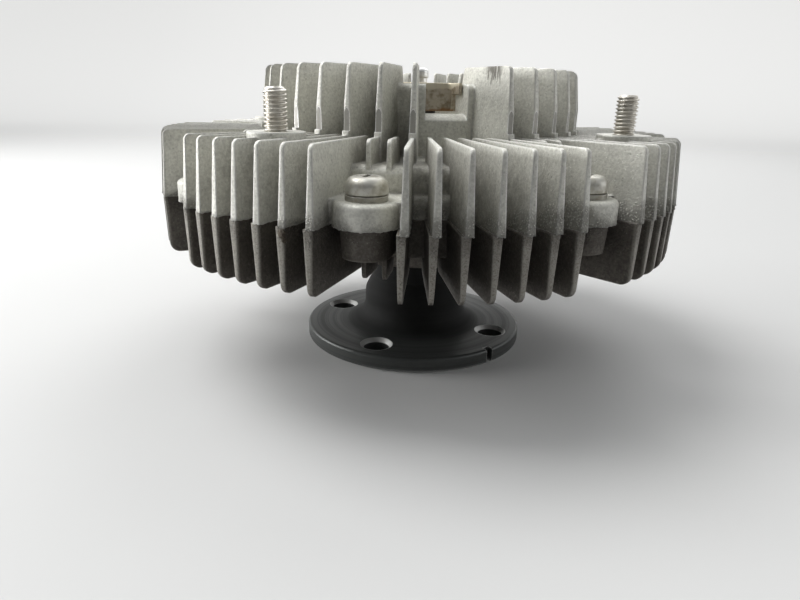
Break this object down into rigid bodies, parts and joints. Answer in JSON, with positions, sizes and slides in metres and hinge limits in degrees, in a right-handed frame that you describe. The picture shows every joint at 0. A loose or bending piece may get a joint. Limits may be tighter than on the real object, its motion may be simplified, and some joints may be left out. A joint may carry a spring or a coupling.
{
  "type": "viscous fan clutch",
  "caption": "Viscous fan clutch with a round drive flange, a finned two-piece housing on a ball bearing, fan studs and a bimetal coil valve.",
  "frame": {"origin": "centre of the drive flange's mounting face, which lies on z = 0", "axes": "+Z along the rotation axis from the drive flange towards the fan studs and the coil; -Y towards the side with the window of the coil chamber"},
  "size_m": [0.167, 0.167, 0.0924],
  "materials": {
    "turned_steel": "turned dark steel, oily",
    "bearing_steel": "ground steel",
    "ball_steel": "polished steel",
    "cage_brass": "machined brass",
    "shield_steel": "pressed sheet steel",
    "spring_steel": "dark phosphated spring steel",
    "rotor_aluminium": "machined",
    "plated_steel": "zinc plated",
    "rear_casting": "gritty as cast, dirty",
    "front_casting": "gritty as cast",
    "seal_rubber": "black rubber",
    "plate_steel": "stamped sheet",
    "wiper_brass": "machined brass",
    "shaft_steel": "ground steel",
    "bimetal": "yellow passivated strip, stained",
    "screw_zinc": "dull zinc plating",
    "washer_zinc": "dull zinc plating",
    "stud_zinc": "bright zinc plating"
  },
  "bodies": {
    "drive_shaft": {"drive_shaft": "turned_steel", "bearing_inner_race": "bearing_steel", "rotor": "rotor_aluminium", "rotor_nut": "plated_steel"},
    "housing": {"front_cover": "front_casting", "rear_body": "rear_casting", "bearing_outer_race": "bearing_steel", "bearing_shields": "shield_steel", "bearing_circlip": "spring_steel", "cover_seal_ring": "seal_rubber", "separator_plate": "plate_steel", "plate_screws": "plated_steel", "pump_wiper": "wiper_brass", "valve_shaft_seal": "seal_rubber", "bimetal_coil": "bimetal", "cover_screws": "screw_zinc", "spring_washers": "washer_zinc", "fan_studs": "stud_zinc"},
    "bearing_cage": {"bearing_cage": "cage_brass", "bearing_balls": "ball_steel"},
    "valve": {"valve_shaft": "shaft_steel", "valve_arm": "plate_steel", "valve_shaft_clip": "spring_steel"}
  },
  "joints": [
    {"name": "housing_spin", "type": "hinge", "parent": "drive_shaft", "child": "housing", "pos_m": [0, 0, 0.041], "axis": [0, 0, 1], "continuous": true},
    {"name": "cage_spin", "type": "hinge", "parent": "drive_shaft", "child": "bearing_cage", "pos_m": [0, 0, 0.041], "axis": [0, 0, 1], "continuous": true},
    {"name": "valve_turn", "type": "hinge", "parent": "housing", "child": "valve", "pos_m": [0, 0, 0.078], "axis": [0, 0, 1], "range_deg": [0, 35], "stiffness_Nm_per_rad": 0.05, "deforming": ["bimetal_coil"]}
  ],
  "couplings": [
    {"joint": "cage_spin", "follows": "housing_spin", "ratio": 0.58889}
  ]
}
